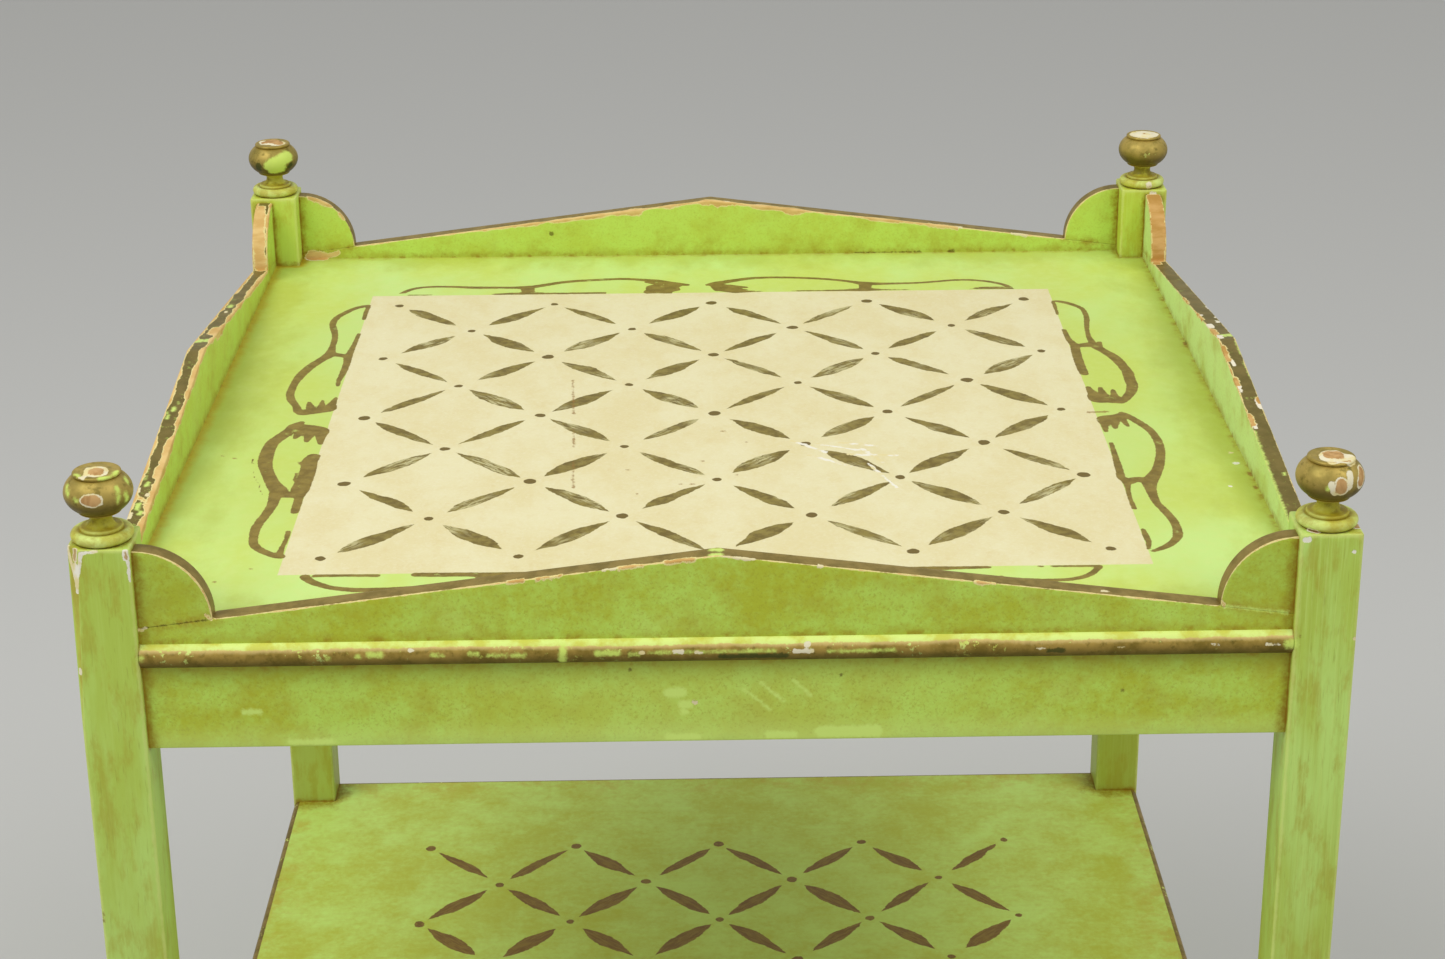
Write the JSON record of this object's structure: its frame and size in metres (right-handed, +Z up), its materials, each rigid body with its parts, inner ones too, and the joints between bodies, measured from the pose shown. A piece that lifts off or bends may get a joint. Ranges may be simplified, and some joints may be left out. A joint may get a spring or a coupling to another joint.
{
  "type": "tiered side table",
  "caption": "Square tiered side table: a tray with low gabled galleries, quarter-round ears and turned finials on square posts, with an open shelf below.",
  "frame": {"origin": "on the floor, under the middle of the table", "axes": "+Z up, -Y to the front, +X to the right as seen from the front"},
  "size_m": [0.6124, 0.6124, 0.702],
  "materials": {
    "post_paint": "lime green paint with amber glaze in vertical brush streaks, satin",
    "board_paint": "lime green paint under a mottled olive glaze, gilded and chipped along the top edges",
    "tray_paint": "pale lime paint with a cream square, a bronze lattice and scrolls, satin",
    "shelf_paint": "olive lime paint, mottled, with a brown lattice, satin",
    "worn_gilding": "bronze gilding over green paint, worn through to gesso and wood",
    "bare_wood": "unpainted softwood, matt",
    "screw_steel": "plain steel"
  },
  "bodies": {
    "root": {"post_front_left": "post_paint", "post_front_right": "post_paint", "post_back_right": "post_paint", "post_back_left": "post_paint", "finial_front_left": "worn_gilding", "finial_front_right": "worn_gilding", "finial_back_right": "worn_gilding", "finial_back_left": "worn_gilding", "gallery_front": "board_paint", "gallery_right": "board_paint", "gallery_back": "board_paint", "gallery_left": "board_paint", "ear_front_left": "board_paint", "ear_front_right": "board_paint", "ear_right_front": "board_paint", "ear_right_back": "board_paint", "ear_back_right": "board_paint", "ear_back_left": "board_paint", "ear_left_back": "board_paint", "ear_left_front": "board_paint", "tray_bead_front": "worn_gilding", "tray_bead_right": "worn_gilding", "tray_bead_back": "worn_gilding", "tray_bead_left": "worn_gilding", "apron_front": "board_paint", "apron_right": "board_paint", "apron_back": "board_paint", "apron_left": "board_paint", "rail_front": "board_paint", "rail_right": "board_paint", "rail_back": "board_paint", "rail_left": "board_paint", "shelf_bead_front": "worn_gilding", "shelf_bead_right": "worn_gilding", "shelf_bead_back": "worn_gilding", "shelf_bead_left": "worn_gilding", "tray_panel": "tray_paint", "shelf_panel": "shelf_paint", "corner_block_front_left": "bare_wood", "corner_block_front_right": "bare_wood", "corner_block_back_right": "bare_wood", "corner_block_back_left": "bare_wood", "tray_screw_front_left": "screw_steel", "tray_screw_front_right": "screw_steel", "tray_screw_back_right": "screw_steel", "tray_screw_back_left": "screw_steel"}
  },
  "joints": []
}
